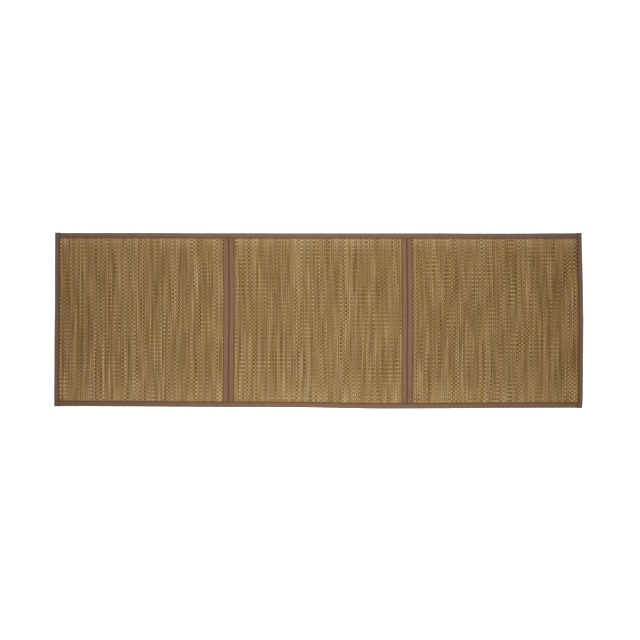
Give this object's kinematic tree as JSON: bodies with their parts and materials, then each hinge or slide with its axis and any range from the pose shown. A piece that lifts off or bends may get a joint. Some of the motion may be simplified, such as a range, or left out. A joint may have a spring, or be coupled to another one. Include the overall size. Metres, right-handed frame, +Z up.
{
  "type": "tatami mat",
  "caption": "Long folding floor mat of woven rush panels joined by cloth hinges and bound in brown cloth, lying open and flat.",
  "frame": {"origin": "on the floor under the middle of the mat's bounding box", "axes": "+X along the mat's length towards its right end as pictured, +Y towards its back long edge, +Z up"},
  "size_m": [1.8034, 0.6016, 0.0066],
  "materials": {
    "rush": "dry woven rush, low sheen",
    "binding_cloth": "matt cotton canvas",
    "hinge_cloth": "matt cotton canvas"
  },
  "bodies": {
    "root": {"panel_left": "rush", "panel_middle": "rush", "panel_right": "rush", "binding_back": "binding_cloth", "binding_front": "binding_cloth", "binding_left": "binding_cloth", "binding_right": "binding_cloth", "hinge_tape_left_top": "hinge_cloth", "hinge_tape_left_under": "hinge_cloth", "hinge_tape_right_top": "hinge_cloth", "hinge_tape_right_under": "hinge_cloth"}
  },
  "joints": []
}
